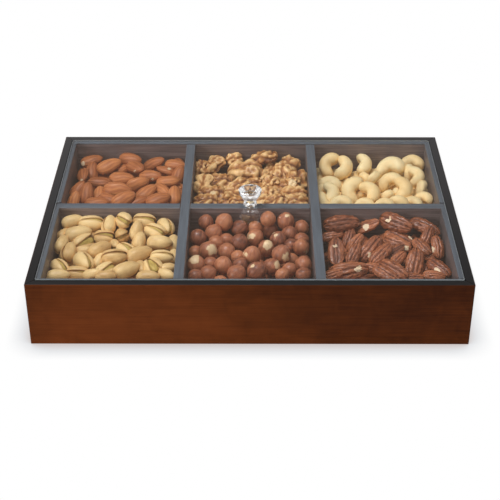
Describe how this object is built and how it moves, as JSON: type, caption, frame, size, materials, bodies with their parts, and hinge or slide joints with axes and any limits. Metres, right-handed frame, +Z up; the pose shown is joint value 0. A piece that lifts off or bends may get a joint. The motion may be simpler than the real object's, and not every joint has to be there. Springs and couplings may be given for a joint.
{
  "type": "dried fruit box",
  "caption": "Shallow wooden serving box with open compartments split by lapped dividers, and a clear flat lid with a faceted knob that lifts straight off.",
  "frame": {"origin": "centre of the box's underside", "axes": "+X along the box's length to the right, +Y from front to back, +Z up, out of the open box"},
  "size_m": [0.35, 0.25, 0.0728],
  "materials": {
    "stained_wood": "satin reddish brown stain outside, charcoal paint on the rim",
    "black_wood": "satin black-brown stain",
    "black_board": "matte black paint on flat board",
    "clear_acrylic": "clear, polished",
    "crystal": "clear, cut and polished",
    "brass": "turned",
    "steel": "bright plated"
  },
  "bodies": {
    "tray": {"front_board": "stained_wood", "back_board": "stained_wood", "left_board": "stained_wood", "right_board": "stained_wood", "base_panel": "black_board", "front_liner": "black_wood", "back_liner": "black_wood", "left_liner_front": "black_wood", "left_liner_back": "black_wood", "right_liner_front": "black_wood", "right_liner_back": "black_wood", "long_divider": "black_wood", "cross_divider_left": "black_wood", "cross_divider_right": "black_wood"},
    "lid": {"lid_panel": "clear_acrylic", "knob": "crystal", "knob_insert": "brass", "knob_screw": "steel"}
  },
  "joints": [
    {"name": "lid_lift", "type": "slide", "parent": "tray", "child": "lid", "axis": [0, 0, 1], "range_m": [0, 0.08]}
  ]
}
